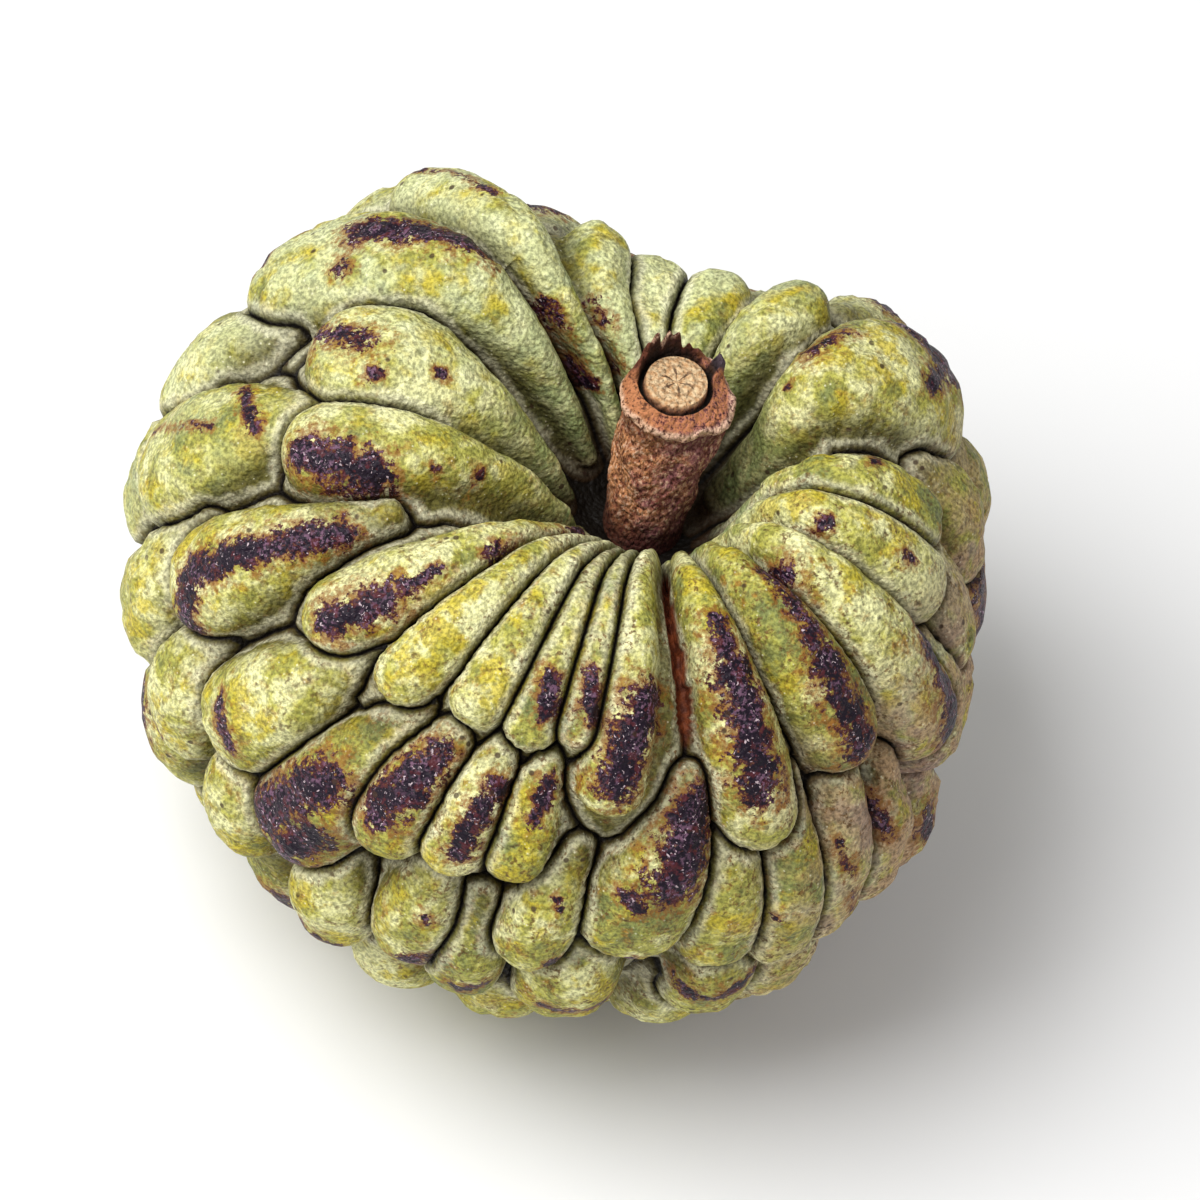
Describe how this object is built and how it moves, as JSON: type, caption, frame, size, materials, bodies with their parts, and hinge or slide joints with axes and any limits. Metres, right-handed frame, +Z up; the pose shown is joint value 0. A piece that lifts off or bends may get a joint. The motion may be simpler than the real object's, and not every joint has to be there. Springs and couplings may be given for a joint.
{
  "type": "sugar apple",
  "caption": "Whole sugar apple with its cut stalk: a squat, lopsided fruit covered in rounded scale-like carpels that run out of the pit at its top, standing on a small flat spot.",
  "frame": {"origin": "middle of the fruit's box, on the surface that it stands on", "axes": "+Z up along the stalk, -Y towards the camera of the picture, +X to that camera's right"},
  "size_m": [0.0884, 0.0842, 0.0754],
  "materials": {
    "fruit_skin": "matt, finely granular skin with a waxy bloom",
    "stalk_bark": "rough reddish-brown bark"
  },
  "bodies": {
    "root": {"fruit": "fruit_skin", "stem": "stalk_bark"}
  },
  "joints": []
}
